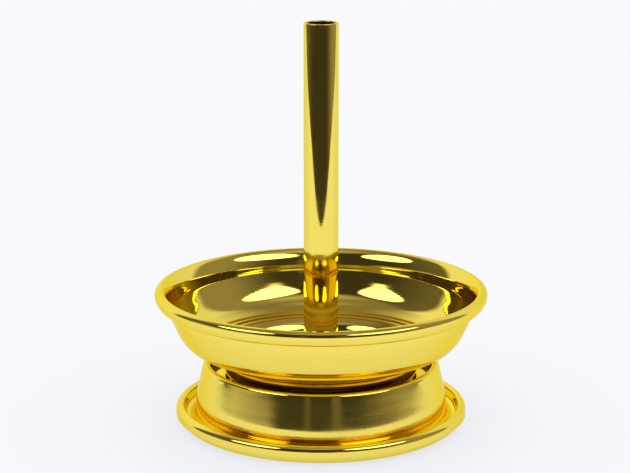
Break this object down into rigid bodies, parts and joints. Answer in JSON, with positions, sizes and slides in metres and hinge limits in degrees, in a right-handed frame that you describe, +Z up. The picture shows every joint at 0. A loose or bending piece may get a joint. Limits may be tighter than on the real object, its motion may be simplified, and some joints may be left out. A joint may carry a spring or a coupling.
{
  "type": "altar candlestick",
  "caption": "Low gold-plated altar candlestick: round spun foot with a lipped gutter, wide drip dish with a rolled rim, and a tall slim open candle tube.",
  "frame": {"origin": "on the axis at the plane the foot stands on", "axes": "+Z up the candle tube; every piece is turned about Z, so X and Y are free and the pictured side faces -Y"},
  "size_m": [0.116, 0.116, 0.1407],
  "materials": {
    "foot": "gold-plated, bright with fine turning marks",
    "dish": "gold-plated, mirror bright",
    "tube": "gold-plated, mirror bright",
    "tube_plug": "machined",
    "tie_rod": "zinc-plated",
    "flat_washer": "zinc-plated",
    "lock_washer": "zinc-plated",
    "nut": "zinc-plated"
  },
  "bodies": {
    "foot": {"foot": "foot"},
    "dish": {"dish": "dish"},
    "tube": {"tube": "tube", "tube_plug": "tube_plug", "tie_rod": "tie_rod"},
    "washers": {"flat_washer": "flat_washer", "lock_washer": "lock_washer"},
    "nut": {"nut": "nut"}
  },
  "joints": [
    {"name": "dish_lift", "type": "slide", "parent": "foot", "child": "dish", "axis": [0, 0, 1], "range_m": [0, 0.02]},
    {"name": "tube_lift", "type": "slide", "parent": "dish", "child": "tube", "axis": [0, 0, 1], "range_m": [0, 0.016]},
    {"name": "washer_drop", "type": "slide", "parent": "foot", "child": "washers", "axis": [0, 0, -1], "range_m": [0, 0.007]},
    {"name": "nut_turn", "type": "hinge", "parent": "washers", "child": "nut", "pos_m": [0, 0, 0.0101], "axis": [0, 0, -1], "range_deg": [0, 2520]}
  ],
  "couplings": [
    {"joint": "nut_turn", "follows": "washer_drop", "rad_per_m": 6283.2}
  ]
}
